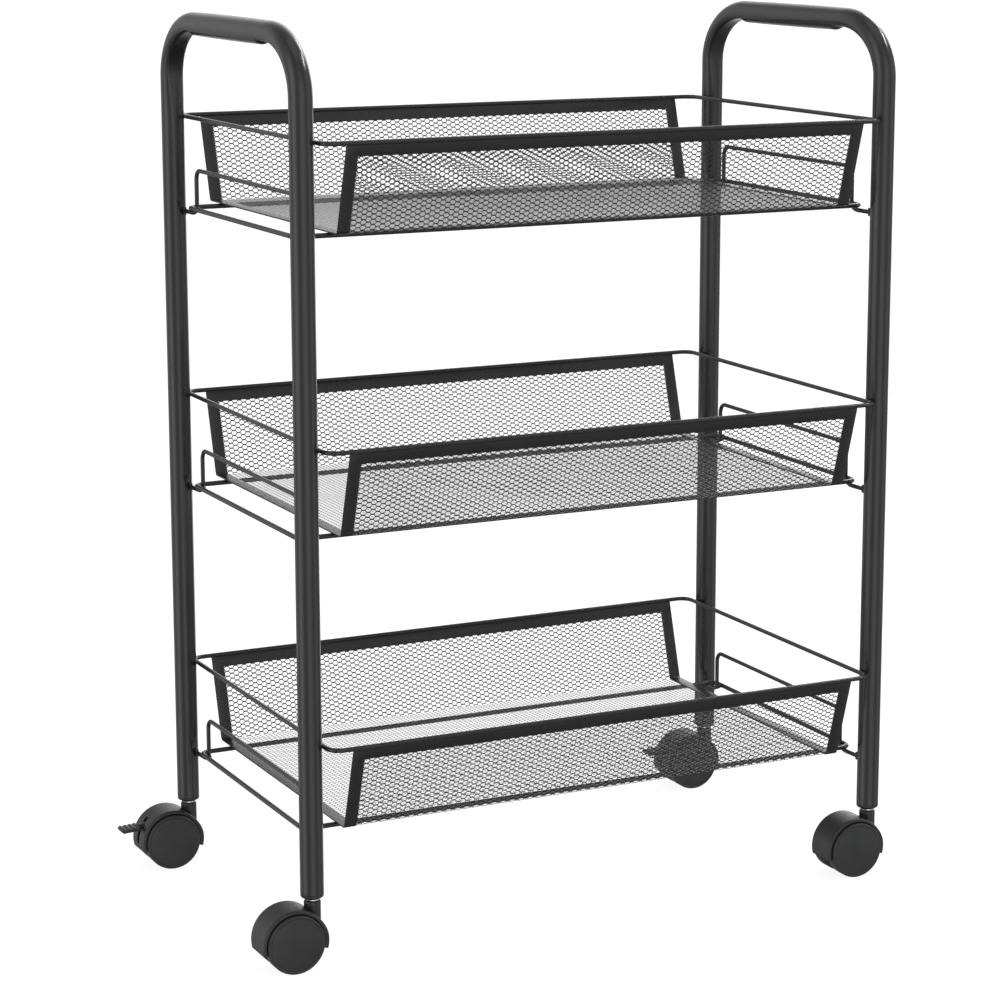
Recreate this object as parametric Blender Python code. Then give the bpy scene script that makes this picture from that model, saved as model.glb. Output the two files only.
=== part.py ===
"""Rolling pantry cart: two bent-tube end frames, three open-ended mesh trays, four twin-wheel casters.

Metres, +Z up. +X is the cart's right, -Y its front. The floor is z = 0.
"""

import math

import bmesh
import bpy
import numpy as np
from mathutils import Vector

MM = 0.001
GAP = 0.3 * MM  # clearance between separate pieces

# End frames: one bent tube each, an inverted U in a plane across the cart.
LEG_X = 222.2 * MM
LEG_Y = 121.0 * MM
TUBE_R = 8.2 * MM
TUBE_WALL = 1.2 * MM
TUBE_FOOT_Z = 50.8 * MM
FRAME_TOP_Z = 631.3 * MM
BEND_R = 45.5 * MM
CENTRE_X = 23.15 * MM  # puts the middle of the whole cart, brake pedals included, on the origin

# Tiers, named from the top down. Heights are those of the rim wire's centre line.
TIER_Z = {"top": 556.0 * MM, "middle": 354.0 * MM, "bottom": 152.0 * MM}
RIM_X = 212.3 * MM
RIM_Y = 135.4 * MM
RIM_R = 1.6 * MM
RIM_CORNER = 9.0 * MM

# Tray sheet, a folded channel open at both ends.
TRAY_X = 196.6 * MM
TRAY_FLOOR_Y = 117.0 * MM
TRAY_DEPTH = 60.5 * MM
SHEET = 0.8 * MM
FOLD_R = 2.6 * MM
FOLD_RISE = 2.6 * MM
TOP_STRIP = 7.4 * MM
END_STRIP = 9.0 * MM

# Base wire under the tray, its hooks to the legs, and the guards on its end wires.
BASE_X = 219.6 * MM
BASE_Y = 100.0 * MM
BASE_R = 1.5 * MM
BASE_DROP = TRAY_DEPTH + SHEET / 2 + GAP + BASE_R
BASE_CORNER = 7.0 * MM
HOOK_R = 1.3 * MM
GUARD_R = 1.4 * MM
GUARD_X = BASE_X - BASE_R - GAP - GUARD_R
GUARD_Y = 91.2 * MM
GUARD_DROP = 35.7 * MM
GUARD_CORNER = 7.0 * MM

# Casters. The wheels trail towards -X of the swivel axis.
TRAIL = 17.0 * MM
WHEEL_R = 20.5 * MM
WHEEL_FACE = 16.0 * MM
WHEEL_BACK = 4.0 * MM
HOOD_R = 23.4 * MM
HOOD_WELL_R = 21.3 * MM
HOOD_HALF = 12.4 * MM
HOOD_END = math.radians(15)
WEB_HALF = 3.5 * MM
NECK_R = 5.8 * MM
NECK_TOP_Z = 45.6 * MM
STEM_R = 4.0 * MM
STEM_TOP_Z = 84.0 * MM
COLLAR_R = 5.6 * MM
COLLAR_TOP_Z = 47.7 * MM
PIVOT_R = 3.0 * MM
PIVOT_FOOT_Z = 35.0 * MM
SOCKET_FOOT_Z = 48.0 * MM
AXLE_R = 2.0 * MM

# Brake levers of the two back casters.
LEVER_X = -30.5 * MM
LEVER_Z = 32.4 * MM
LEVER_HALF = 1.8 * MM
SLOT_HALF = 2.2 * MM
SLOT_LOW_Z = 19.0 * MM
SLOT_HIGH_Z = 38.3 * MM
SLOT_DEPTH_X = -26.5 * MM
PEDAL_TIP_X = -54.5 * MM
PEDAL_ROOT_X = -40.0 * MM
PEDAL_HALF = 6.0 * MM
PEDAL_TOP_Z = 33.4 * MM
PEDAL_THICK = 2.1 * MM
PEDAL_TILT = math.radians(3.5)

SIDES = {"left": -1, "right": 1}
ENDS = {"front": -1, "back": 1}
BRAKED = ("back",)


# ---------------------------------------------------------------- materials


def material(name, colour, roughness, metallic=0.0):
    mat = bpy.data.materials.get(name)
    if mat is None:
        mat = bpy.data.materials.new(name)
        mat.use_nodes = True
        shader = mat.node_tree.nodes["Principled BSDF"]
        shader.inputs["Base Color"].default_value = (*colour, 1.0)
        shader.inputs["Roughness"].default_value = roughness
        shader.inputs["Metallic"].default_value = metallic
        mat.diffuse_color = (*colour, 1.0)
    return mat


def tube_paint():
    return material("tube_paint", (0.052, 0.054, 0.055), 0.42)


def wire_paint():
    return material("wire_paint", (0.040, 0.041, 0.042), 0.40)


def mesh_paint():
    return material("mesh_paint", (0.045, 0.046, 0.047), 0.45)


def strip_paint():
    return material("strip_paint", (0.030, 0.031, 0.032), 0.38)


def housing_plastic():
    return material("housing_plastic", (0.028, 0.029, 0.030), 0.42)


def wheel_plastic():
    return material("wheel_plastic", (0.030, 0.031, 0.031), 0.50)


def lever_plastic():
    return material("lever_plastic", (0.028, 0.029, 0.030), 0.45)


def socket_plastic():
    return material("socket_plastic", (0.035, 0.036, 0.037), 0.50)


def zinc_steel():
    return material("zinc_steel", (0.62, 0.62, 0.60), 0.28, 1.0)


# ---------------------------------------------------------------- mesh helpers


def new_object(name, bm, mat, location=(0, 0, 0), smooth_angle=35):
    bmesh.ops.recalc_face_normals(bm, faces=bm.faces)
    mesh = bpy.data.meshes.new(name)
    bm.to_mesh(mesh)
    bm.free()
    mesh.materials.append(mat)
    mesh.shade_smooth()
    mesh.set_sharp_from_angle(angle=math.radians(smooth_angle))
    obj = bpy.data.objects.new(name, mesh)
    obj.location = Vector(location) + Vector((CENTRE_X, 0, 0))
    bpy.context.collection.objects.link(obj)
    return obj


def filleted(corners, radius, steps, closed=False):
    """A polyline through the corners, each turn replaced by an arc of the given radius."""
    corners = [Vector(c) for c in corners]
    count = len(corners)
    path = []
    for i, corner in enumerate(corners):
        if not closed and i in (0, count - 1):
            path.append(corner)
            continue
        before = (corners[i - 1] - corner).normalized()
        after = (corners[(i + 1) % count] - corner).normalized()
        half = before.angle(after) / 2
        centre = corner + (before + after).normalized() * (radius / math.sin(half))
        start = corner + before * (radius / math.tan(half)) - centre
        normal = start.cross(corner + after * (radius / math.tan(half)) - centre).normalized()
        side = normal.cross(start)
        turn = math.pi - 2 * half
        for k in range(steps + 1):
            a = turn * k / steps
            path.append(centre + start * math.cos(a) + side * math.sin(a))
    return path


def sweep(bm, path, radius, sides, normal, closed=False, capped=True):
    """Rings of vertices round a path that lies in a plane with the given normal."""
    normal = Vector(normal)
    count = len(path)
    rings = []
    for i, point in enumerate(path):
        back = path[i - 1] if closed or i else path[i]
        ahead = path[(i + 1) % count] if closed or i < count - 1 else path[i]
        incoming = (point - back).normalized() if back is not point else (ahead - point).normalized()
        outgoing = (ahead - point).normalized() if ahead is not point else incoming
        tangent = (incoming + outgoing).normalized()
        across = normal.cross(tangent)
        stretch = 1 / max(0.3, tangent.dot(outgoing))
        ring = []
        for k in range(sides):
            a = 2 * math.pi * (k + 0.5) / sides
            offset = across * (math.cos(a) * radius * stretch) + normal * (math.sin(a) * radius)
            ring.append(bm.verts.new(point + offset))
        rings.append(ring)
    for i in range(count if closed else count - 1):
        join_rings(bm, rings[i], rings[(i + 1) % count])
    if capped and not closed:
        bm.faces.new(list(reversed(rings[0])))
        bm.faces.new(rings[-1])
    return rings


def join_rings(bm, first, second):
    count = len(first)
    for k in range(count):
        n = (k + 1) % count
        bm.faces.new((first[k], first[n], second[n], second[k]))


def revolve(bm, profile, sides, axis="Z"):
    """Turns a closed (radius, height) outline round an axis; points on the axis become poles."""
    rings = []
    for radius, height in profile:
        if radius < 1e-7:
            rings.append([bm.verts.new(on_axis(0, 0, height, axis))])
            continue
        ring = []
        for k in range(sides):
            a = 2 * math.pi * k / sides
            x, y = radius * math.cos(a), radius * math.sin(a)
            ring.append(bm.verts.new(on_axis(x, y, height, axis)))
        rings.append(ring)
    for first, second in zip(rings, rings[1:] + rings[:1]):
        if len(first) == 1 and len(second) == 1:
            continue
        if len(first) == 1 or len(second) == 1:
            pole, ring = (first[0], second) if len(first) == 1 else (second[0], first)
            for k in range(sides):
                bm.faces.new((pole, ring[k], ring[(k + 1) % sides]))
        else:
            join_rings(bm, first, second)


def on_axis(x, y, height, axis):
    return Vector((x, y, height)) if axis == "Z" else Vector((x, height, y))


def extrude_y(bm, outline, low, high):
    """A prism from an outline of (x, z) points, running from y = low to y = high."""
    first = [bm.verts.new((x, low, z)) for x, z in outline]
    second = [bm.verts.new((x, high, z)) for x, z in outline]
    bm.faces.new(first)
    bm.faces.new(list(reversed(second)))
    join_rings(bm, first, second)


def arc(cx, cz, radius, start, end, steps):
    """Points on an arc in the x-z plane, angles from +x towards +z."""
    return [
        (cx + radius * math.cos(a), cz + radius * math.sin(a)) for a in np.linspace(start, end, steps + 1)
    ]


def combine(obj, others, operation):
    """Joins or cuts obj by other objects and keeps the result as its mesh."""
    for other in others:
        mod = obj.modifiers.new(operation.lower(), "BOOLEAN")
        mod.object, mod.operation, mod.solver = other, operation, "EXACT"
    shape = obj.evaluated_get(bpy.context.evaluated_depsgraph_get())
    mesh = bpy.data.meshes.new_from_object(shape)
    obj.modifiers.clear()
    old, obj.data = obj.data, mesh
    bpy.data.meshes.remove(old)
    for other in others:
        bpy.data.objects.remove(other)
    bm = bmesh.new()
    bm.from_mesh(mesh)
    bmesh.ops.remove_doubles(bm, verts=bm.verts, dist=0.002 * MM)
    bmesh.ops.dissolve_degenerate(bm, edges=bm.edges, dist=0.002 * MM)
    bm.to_mesh(mesh)
    bm.free()
    mesh.shade_smooth()
    mesh.set_sharp_from_angle(angle=math.radians(35))


def tool(build):
    """A throwaway body for combine."""
    bm = bmesh.new()
    build(bm)
    return new_object("tool", bm, housing_plastic())


# ---------------------------------------------------------------- end frames


def end_frame(side):
    x = SIDES[side] * LEG_X
    top = FRAME_TOP_Z - TUBE_R
    foot = TUBE_FOOT_Z
    corners = [(0, -LEG_Y, foot), (0, -LEG_Y, top), (0, LEG_Y, top), (0, LEG_Y, foot)]
    path = filleted(corners, BEND_R, 7)
    bm = bmesh.new()
    outer = sweep(bm, path, TUBE_R, 20, (1, 0, 0), capped=False)
    inner = sweep(bm, path, TUBE_R - TUBE_WALL, 20, (1, 0, 0), capped=False)
    for a, b in ((outer[0], inner[0]), (outer[-1], inner[-1])):
        join_rings(bm, a, b)
    return new_object(f"end_frame_{side}", bm, tube_paint(), (x, 0, 0))


# ---------------------------------------------------------------- tiers


def rim_wire(tier):
    corners = [(-RIM_X, -RIM_Y, 0), (RIM_X, -RIM_Y, 0), (RIM_X, RIM_Y, 0), (-RIM_X, RIM_Y, 0)]
    bm = bmesh.new()
    sweep(bm, filleted(corners, RIM_CORNER, 5, closed=True), RIM_R, 10, (0, 0, 1), closed=True)
    return new_object(f"rim_wire_{tier}", bm, wire_paint(), (0, 0, TIER_Z[tier]))


def base_wire(tier):
    """The wire under the tray, with a bent hook and upright pin at each corner."""
    corners = [(-BASE_X, -BASE_Y, 0), (BASE_X, -BASE_Y, 0), (BASE_X, BASE_Y, 0), (-BASE_X, BASE_Y, 0)]
    bm = bmesh.new()
    sweep(bm, filleted(corners, BASE_CORNER, 4, closed=True), BASE_R, 10, (0, 0, 1), closed=True)
    obj = new_object(f"base_wire_{tier}", bm, wire_paint(), (0, 0, TIER_Z[tier] - BASE_DROP))
    add = []
    for x in (-BASE_X, BASE_X):
        for end in ENDS.values():
            add += base_hook(obj, x, end)
    combine(obj, add, "UNION")
    return obj


def base_hook(obj, x, end):
    pin_y = LEG_Y - TUBE_R - GAP - HOOK_R
    drop = 4.2 * MM
    bend = [(x, end * y, z) for y, z in ((88.0 * MM, 0), (93.0 * MM, -drop), (pin_y, -drop))]

    def arm(bm):
        sweep(bm, filleted(bend, 5.0 * MM, 3), HOOK_R, 8, (1, 0, 0))

    def pin(bm):
        low, high = -drop - 3.1 * MM, -drop + 3.1 * MM
        sweep(bm, [Vector((x, end * pin_y, low)), Vector((x, end * pin_y, high))], HOOK_R, 8, (1, 0, 0))

    parts = [tool(arm), tool(pin)]
    for part in parts:
        part.location = obj.location
    return parts


def guard(tier, side):
    x = SIDES[side] * GUARD_X
    foot = -BASE_DROP - 1.2 * MM
    corners = [(0, -GUARD_Y, foot), (0, -GUARD_Y, -GUARD_DROP), (0, GUARD_Y, -GUARD_DROP), (0, GUARD_Y, foot)]
    bm = bmesh.new()
    sweep(bm, filleted(corners, GUARD_CORNER, 4), GUARD_R, 8, (1, 0, 0))
    return new_object(f"guard_{side}_{tier}", bm, wire_paint(), (x, 0, TIER_Z[tier]))


def wall_line(end):
    """Start just under the rim, corner at the fold, and inner end of one wall of the tray."""
    top = Vector((0, end * RIM_Y, 0))
    fold = Vector((0, end * TRAY_FLOOR_Y, -TRAY_DEPTH))
    down = (fold - top).normalized()
    return top + down * (RIM_R + GAP), fold, down


def plate(bm, path, low_x, high_x, closed_thickness=SHEET):
    """A folded plate: a path in the y-z plane, thickened to both sides and run along x."""
    rows = []
    for i, point in enumerate(path):
        back = (point - path[i - 1]).normalized() if i else (path[1] - point).normalized()
        ahead = (path[i + 1] - point).normalized() if i < len(path) - 1 else back
        tangent = (back + ahead).normalized()
        side = Vector((1, 0, 0)).cross(tangent) * (closed_thickness / 2 / tangent.dot(ahead))
        rows.append((point - side, point + side))
    section = [r[0] for r in rows] + [r[1] for r in reversed(rows)]
    first = [bm.verts.new((low_x, p.y, p.z)) for p in section]
    second = [bm.verts.new((high_x, p.y, p.z)) for p in section]
    join_rings(bm, first, second)
    count = len(rows)
    for ring in (first, second):
        for i in range(count - 1):
            bm.faces.new((ring[i], ring[i + 1], ring[2 * count - 2 - i], ring[2 * count - 1 - i]))


def tray_mesh(tier):
    """The perforated sheet between the solid border strips."""
    front_top, front_fold, front_down = wall_line(-1)
    back_top, back_fold, back_down = wall_line(1)
    start = front_top + front_down * (TOP_STRIP + GAP)
    finish = back_top + back_down * (TOP_STRIP + GAP)
    path = filleted([start, front_fold, back_fold, finish], FOLD_R, 3)
    bm = bmesh.new()
    plate(bm, path, -(TRAY_X - END_STRIP - GAP), TRAY_X - END_STRIP - GAP)
    return new_object(f"tray_mesh_{tier}", bm, mesh_paint(), (0, 0, TIER_Z[tier]))


def border(tier, end_name):
    """A flat strip along the top of one wall and down both of its ends."""
    top, fold, down = wall_line(ENDS[end_name])
    foot = fold - down * (FOLD_RISE + GAP)
    inner = top + down * TOP_STRIP
    side = Vector((1, 0, 0)).cross(down) * (SHEET / 2)
    outline = [
        (-TRAY_X, top), (TRAY_X, top), (TRAY_X, foot), (TRAY_X - END_STRIP, foot),
        (TRAY_X - END_STRIP, inner), (-TRAY_X + END_STRIP, inner), (-TRAY_X + END_STRIP, foot), (-TRAY_X, foot),
    ]
    bm = bmesh.new()
    first = [bm.verts.new(Vector((x, 0, 0)) + p - side) for x, p in outline]
    second = [bm.verts.new(Vector((x, 0, 0)) + p + side) for x, p in outline]
    join_rings(bm, first, second)
    for ring in (first, second):
        bm.faces.new((ring[0], ring[1], ring[4], ring[5]))
        bm.faces.new((ring[1], ring[2], ring[3], ring[4]))
        bm.faces.new((ring[0], ring[5], ring[6], ring[7]))
    return new_object(f"border_{end_name}_{tier}", bm, strip_paint(), (0, 0, TIER_Z[tier]))


def floor_strip(tier, side):
    """The solid strip along one end of the tray's floor, turned up at both folds."""
    _, front_fold, front_down = wall_line(-1)
    _, back_fold, back_down = wall_line(1)
    rising = [front_fold - front_down * FOLD_RISE, front_fold, back_fold, back_fold - back_down * FOLD_RISE]
    path = filleted(rising, FOLD_R, 3)
    low, high = sorted((SIDES[side] * TRAY_X, SIDES[side] * (TRAY_X - END_STRIP)))
    bm = bmesh.new()
    plate(bm, path, low, high)
    return new_object(f"floor_strip_{side}_{tier}", bm, strip_paint(), (0, 0, TIER_Z[tier]))


# ---------------------------------------------------------------- casters


def caster_place(end, side):
    return Vector((SIDES[side] * LEG_X, ENDS[end] * LEG_Y, 0))


def stem_socket(name, place):
    """The plug in the leg's end, with a rounded lip under the tube."""
    bore, sleeve = STEM_R + GAP, TUBE_R - TUBE_WALL - GAP
    foot, lip_r, round_r = SOCKET_FOOT_Z, TUBE_R - 0.1 * MM, 2.0 * MM
    lip_top, top = TUBE_FOOT_Z - GAP, STEM_TOP_Z - 2.0 * MM
    corner = arc(lip_r - round_r, foot + round_r, round_r, -math.pi / 2, 0, 3)
    profile = [(bore, foot), *corner, (lip_r, lip_top), (sleeve, lip_top), (sleeve, top), (bore, top)]
    bm = bmesh.new()
    revolve(bm, profile, 16)
    return new_object(f"stem_socket_{name}", bm, socket_plastic(), place)


def caster_stem(name, place):
    """The zinc-plated swivel pin: its plug in the leg, a collar, and the pivot below."""
    foot, shoulder = COLLAR_TOP_Z - 1.8 * MM, 1.0 * MM
    profile = [
        (0, PIVOT_FOOT_Z), (PIVOT_R, PIVOT_FOOT_Z), (PIVOT_R, foot), (COLLAR_R, foot),
        (COLLAR_R, COLLAR_TOP_Z), (STEM_R, COLLAR_TOP_Z), (STEM_R, STEM_TOP_Z - shoulder),
        (STEM_R - shoulder, STEM_TOP_Z), (0, STEM_TOP_Z),
    ]
    bm = bmesh.new()
    revolve(bm, profile, 16)
    return new_object(f"caster_stem_{name}", bm, zinc_steel(), place)


def caster_housing(name, place, braked):
    """Hood over both wheels, web between them, and the neck that turns on the stem."""
    bm = bmesh.new()
    extrude_y(bm, arc(-TRAIL, WHEEL_R, HOOD_R, -HOOD_END, math.pi + HOOD_END, 26), -HOOD_HALF, HOOD_HALF)
    obj = new_object(f"caster_housing_{name}", bm, housing_plastic(), place)

    def neck(bm):
        low, flare = 24.0 * MM, 2.0 * MM
        profile = [(0, low), (NECK_R, low), (NECK_R, NECK_TOP_Z - 0.6 * MM), (NECK_R - 0.6 * MM, NECK_TOP_Z)]
        profile += [(0, NECK_TOP_Z)]
        revolve(bm, profile, 20)

    def well(sign):
        def build(bm):
            near, far = sorted((sign * WEB_HALF, sign * 3 * HOOD_HALF))
            revolve(bm, [(0, near), (HOOD_WELL_R, near), (HOOD_WELL_R, far), (0, far)], 40, "Y")
            bmesh.ops.translate(bm, verts=bm.verts, vec=(-TRAIL, 0, WHEEL_R))
        return build

    def bores(bm):
        radius, foot = PIVOT_R + GAP, PIVOT_FOOT_Z - GAP
        revolve(bm, [(0, foot), (radius, foot), (radius, 60 * MM), (0, 60 * MM)], 16)

    def axle_hole(bm):
        radius, reach = AXLE_R + GAP, 2 * WEB_HALF
        revolve(bm, [(0, -reach), (radius, -reach), (radius, reach), (0, reach)], 16, "Y")
        bmesh.ops.translate(bm, verts=bm.verts, vec=(-TRAIL, 0, WHEEL_R))

    add, cut = [tool(neck)], [tool(well(-1)), tool(well(1)), tool(bores), tool(axle_hole)]
    if braked:
        cut += lever_cuts()
    for part in add + cut:
        part.location = obj.location
    combine(obj, add, "UNION")
    combine(obj, cut, "DIFFERENCE")
    return obj


def lever_cuts():
    """The slot that the brake lever swings in, and the hole for its trunnions."""

    def slot(bm):
        outline = [
            (-60 * MM, SLOT_LOW_Z), (SLOT_DEPTH_X, SLOT_LOW_Z), (SLOT_DEPTH_X, SLOT_HIGH_Z), (-60 * MM, SLOT_HIGH_Z)
        ]
        extrude_y(bm, outline, -SLOT_HALF, SLOT_HALF)

    def pivot(bm):
        radius, reach = 1.2 * MM + GAP, WEB_HALF * 2
        revolve(bm, [(0, -reach), (radius, -reach), (radius, reach), (0, reach)], 12, "Y")
        bmesh.ops.translate(bm, verts=bm.verts, vec=(LEVER_X, 0, LEVER_Z))

    return [tool(slot), tool(pivot)]


def axle(name, place):
    reach, edge = WHEEL_FACE - 2.4 * MM, 0.4 * MM
    profile = [
        (0, -reach), (AXLE_R - edge, -reach), (AXLE_R, edge - reach),
        (AXLE_R, reach - edge), (AXLE_R - edge, reach), (0, reach),
    ]
    bm = bmesh.new()
    revolve(bm, profile, 12, "Y")
    return new_object(f"axle_{name}", bm, zinc_steel(), place + Vector((-TRAIL, 0, WHEEL_R)))


def wheel(name, place, face):
    """A plain disc outside, with a blind hub bore and an open recess on the inner side."""
    bore, hub, rim = AXLE_R + GAP, 5.5 * MM, 17.5 * MM
    edge = 1.6 * MM
    profile = [
        (0, WHEEL_FACE), (WHEEL_R - 2.6 * MM, WHEEL_FACE), (WHEEL_R - 0.7 * MM, WHEEL_FACE - 0.6 * MM),
        (WHEEL_R, WHEEL_FACE - edge), (WHEEL_R, WHEEL_BACK + 0.6 * MM), (WHEEL_R - 0.6 * MM, WHEEL_BACK),
        (rim, WHEEL_BACK), (rim, WHEEL_FACE - 3.0 * MM), (hub, WHEEL_FACE - 3.0 * MM), (hub, WHEEL_BACK),
        (bore, WHEEL_BACK), (bore, WHEEL_FACE - 2.1 * MM), (0, WHEEL_FACE - 2.1 * MM),
    ]
    bm = bmesh.new()
    revolve(bm, [(r, face * y) for r, y in profile], 24, "Y")
    side = "front" if face < 0 else "back"
    return new_object(f"wheel_{side}_{name}", bm, wheel_plastic(), place + Vector((-TRAIL, 0, WHEEL_R)))


def brake_lever(name, place):
    """Trunnioned arm through the hood's slot, with a ribbed foot pedal outside."""
    bm = bmesh.new()
    hub = arc(0, 0, 2.8 * MM, -math.pi / 2, math.pi / 2, 6)
    root = PEDAL_ROOT_X - 1.0 * MM - LEVER_X
    level = PEDAL_TOP_Z - LEVER_Z
    arm = hub + [(root, level - 0.3 * MM), (root, level - PEDAL_THICK + 0.3 * MM)]
    extrude_y(bm, arm, -LEVER_HALF, LEVER_HALF)
    obj = new_object(f"brake_lever_{name}", bm, lever_plastic(), place + Vector((LEVER_X, 0, LEVER_Z)))

    def trunnion(bm):
        reach = WEB_HALF - 0.2 * MM
        revolve(bm, [(0, -reach), (1.2 * MM, -reach), (1.2 * MM, reach), (0, reach)], 12, "Y")

    def pedal(bm):
        extrude_y(bm, pedal_outline(), -PEDAL_HALF, PEDAL_HALF)

    add = [tool(trunnion), tool(pedal)]
    for part in add:
        part.location = obj.location
    combine(obj, add, "UNION")
    return obj


def pedal_outline():
    """Side view of the pedal about the lever's pivot: flat below, four ribs on top."""
    ribs, rib_high = 4, 0.7 * MM
    length = PEDAL_ROOT_X - PEDAL_TIP_X
    pitch = length / ribs
    points = []
    for i in range(ribs):
        along = i * pitch
        points += [(along, 0), (along + pitch * 0.25, rib_high), (along + pitch * 0.55, rib_high)]
        points += [(along + pitch * 0.8, 0)]
    points += [(length - 0.6 * MM, -PEDAL_THICK), (0.2 * MM, -PEDAL_THICK)]
    tilt = math.tan(PEDAL_TILT)
    outline = []
    for along, high in points:
        x = PEDAL_ROOT_X - along
        outline.append((x - LEVER_X, PEDAL_TOP_Z - rib_high + high - along * tilt - LEVER_Z))
    return outline


def caster(end, side):
    name, place = f"{end}_{side}", caster_place(end, side)
    braked = end in BRAKED
    stem_socket(name, place)
    caster_stem(name, place)
    caster_housing(name, place, braked)
    axle(name, place)
    for face in (-1, 1):
        wheel(name, place, face)
    if braked:
        brake_lever(name, place)


# ---------------------------------------------------------------- the cart


def main():
    for obj in list(bpy.data.objects):
        bpy.data.objects.remove(obj)
    for side in SIDES:
        end_frame(side)
    for tier in TIER_Z:
        rim_wire(tier)
        base_wire(tier)
        tray_mesh(tier)
        for side in SIDES:
            guard(tier, side)
            floor_strip(tier, side)
        for end in ENDS:
            border(tier, end)
    for end in ENDS:
        for side in SIDES:
            caster(end, side)


main()
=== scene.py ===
"""Looks of the rolling pantry cart: tube frames, wire, pierced trays and casters.

Below the pieces come their studio and camera. Lengths are in metres.
"""

import math

import bmesh
import bpy
import numpy as np
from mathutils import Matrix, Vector

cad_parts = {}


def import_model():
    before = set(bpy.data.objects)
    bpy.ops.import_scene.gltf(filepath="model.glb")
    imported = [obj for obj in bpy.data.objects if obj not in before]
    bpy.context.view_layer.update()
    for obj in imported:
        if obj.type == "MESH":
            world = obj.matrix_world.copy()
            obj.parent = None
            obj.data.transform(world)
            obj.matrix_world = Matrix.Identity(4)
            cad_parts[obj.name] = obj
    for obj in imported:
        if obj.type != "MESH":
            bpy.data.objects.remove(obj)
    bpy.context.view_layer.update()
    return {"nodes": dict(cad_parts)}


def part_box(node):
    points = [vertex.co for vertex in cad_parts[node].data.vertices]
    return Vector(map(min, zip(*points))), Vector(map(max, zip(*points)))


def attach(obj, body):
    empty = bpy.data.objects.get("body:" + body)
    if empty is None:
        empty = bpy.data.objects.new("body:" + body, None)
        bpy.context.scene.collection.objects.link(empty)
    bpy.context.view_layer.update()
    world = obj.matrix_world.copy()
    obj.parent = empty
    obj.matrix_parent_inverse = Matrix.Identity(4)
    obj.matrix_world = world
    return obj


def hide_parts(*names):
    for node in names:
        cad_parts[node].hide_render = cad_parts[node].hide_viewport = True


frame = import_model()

MM = 0.001
TINY = 1e-6
ROOT = "cart_frame"
SIDES = {"left": -1, "right": 1}
ENDS = {"front": -1, "back": 1}
TIERS = ("top", "middle", "bottom")
BRAKED = ("back",)


# ---------------------------------------------------------------- dimensions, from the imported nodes


def middle(node):
    low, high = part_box(node)
    return (low + high) / 2


def extent(node):
    low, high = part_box(node)
    return high - low


GAP = 0.3 * MM  # between pieces that are welded, or wrapped round each other
COAT = 0.25 * MM  # what thick paint adds to the radius of a thin wire

# End frames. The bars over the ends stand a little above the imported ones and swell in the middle.
CENTRE_X = (middle("end_frame_left").x + middle("end_frame_right").x) / 2
LEG_X = (middle("end_frame_right").x - middle("end_frame_left").x) / 2
TUBE_R = extent("end_frame_left").x / 2
TUBE_WALL = 1.2 * MM
LEG_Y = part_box("end_frame_left")[1].y - TUBE_R
TUBE_FOOT_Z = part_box("end_frame_left")[0].z
FRAME_TOP_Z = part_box("end_frame_left")[1].z
BAR_LIFT = 0.9 * MM
BAR_SWELL = 0.04
BAR_SWELL_HALF = 25 * MM
BAR_SWELL_FADE = 50 * MM
BEND_R = 45.5 * MM
BEND_ALONG = BEND_R + 5 * MM
BEND_UP = BEND_R - 6.0 * MM
PRESS_DEPTH = 2.6 * MM
PRESS_SOFT = 0.8 * MM
PRESS_ALONG = {"front": 13 * MM, "back": 3 * MM}  # how far the marks run on along the bar
PRESS_ALONG_FADE = 1.8 * MM
PRESS_DOWN = 16 * MM
PRESS_DOWN_FADE = 24 * MM

# Rims and trays
TIER_Z = {tier: middle(f"rim_wire_{tier}").z for tier in TIERS}
RIM_R = extent("rim_wire_top").z / 2
RIM_X = extent("rim_wire_top").x / 2 - RIM_R
RIM_Y = extent("rim_wire_top").y / 2 - RIM_R
RIM_CORNER = 9.0 * MM
TRAY_X = extent("border_front_top").x / 2
SHEET = 0.8 * MM
TRAY_DEPTH = TIER_Z["top"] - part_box("floor_strip_left_top")[0].z - SHEET / 2
TRAY_FLOOR_Y = 117.0 * MM
FOLD_R = 2.6 * MM
FOLD_STEPS = 24
TOP_STRIP = 7.4 * MM
END_STRIP = 9.0 * MM
STRIP_HALF = 0.5 * MM
STRIP_START = 0.9 * MM
PITCH_X = 7.0 * MM
PITCH_S = 3.7 * MM
HOLE = (2.03 * MM, 1.08 * MM, 1.36 * MM)  # half-widths of a hole and its flat top, half-height
MESH_HALF = 0.14 * MM
MESH_LAP_X = 3.0 * MM  # how far the pierced sheet runs on under the strips
MESH_LAP_S = 1.5 * MM

# Base wires, with a hook and a pin to each leg, and guards
BASE_X = 219.6 * MM
BASE_Y = 100.0 * MM
BASE_R = 1.5 * MM
BASE_DROP = TRAY_DEPTH + SHEET / 2 + GAP + BASE_R
BASE_CORNER = 7.0 * MM
HOOK_R = 1.6 * MM
HOOK_X = BASE_X - 2.9 * MM
HOOK_ROOT_Y = 88.5 * MM
HOOK_ROOT_DROP = 0.6 * MM
HOOK_BEND_Y = 96.5 * MM
HOOK_BEND_R = 12.0 * MM
HOOK_DROP = 3.9 * MM
PIN_R = 1.2 * MM
PIN_X = BASE_X - 1.9 * MM
PIN_Y = LEG_Y - 8.4 * MM
PIN_HALF = 2.4 * MM
GUARD_R = extent("guard_left_top").x / 2
GUARD_X = BASE_X - BASE_R - GAP - GUARD_R
GUARD_INSET = 0.3 * MM
GUARD_Y = extent("guard_left_top").y / 2 - GUARD_R
GUARD_DROP = 35.7 * MM
GUARD_FOOT_DROP = 1.2 * MM
GUARD_CORNER = 7.0 * MM

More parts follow.
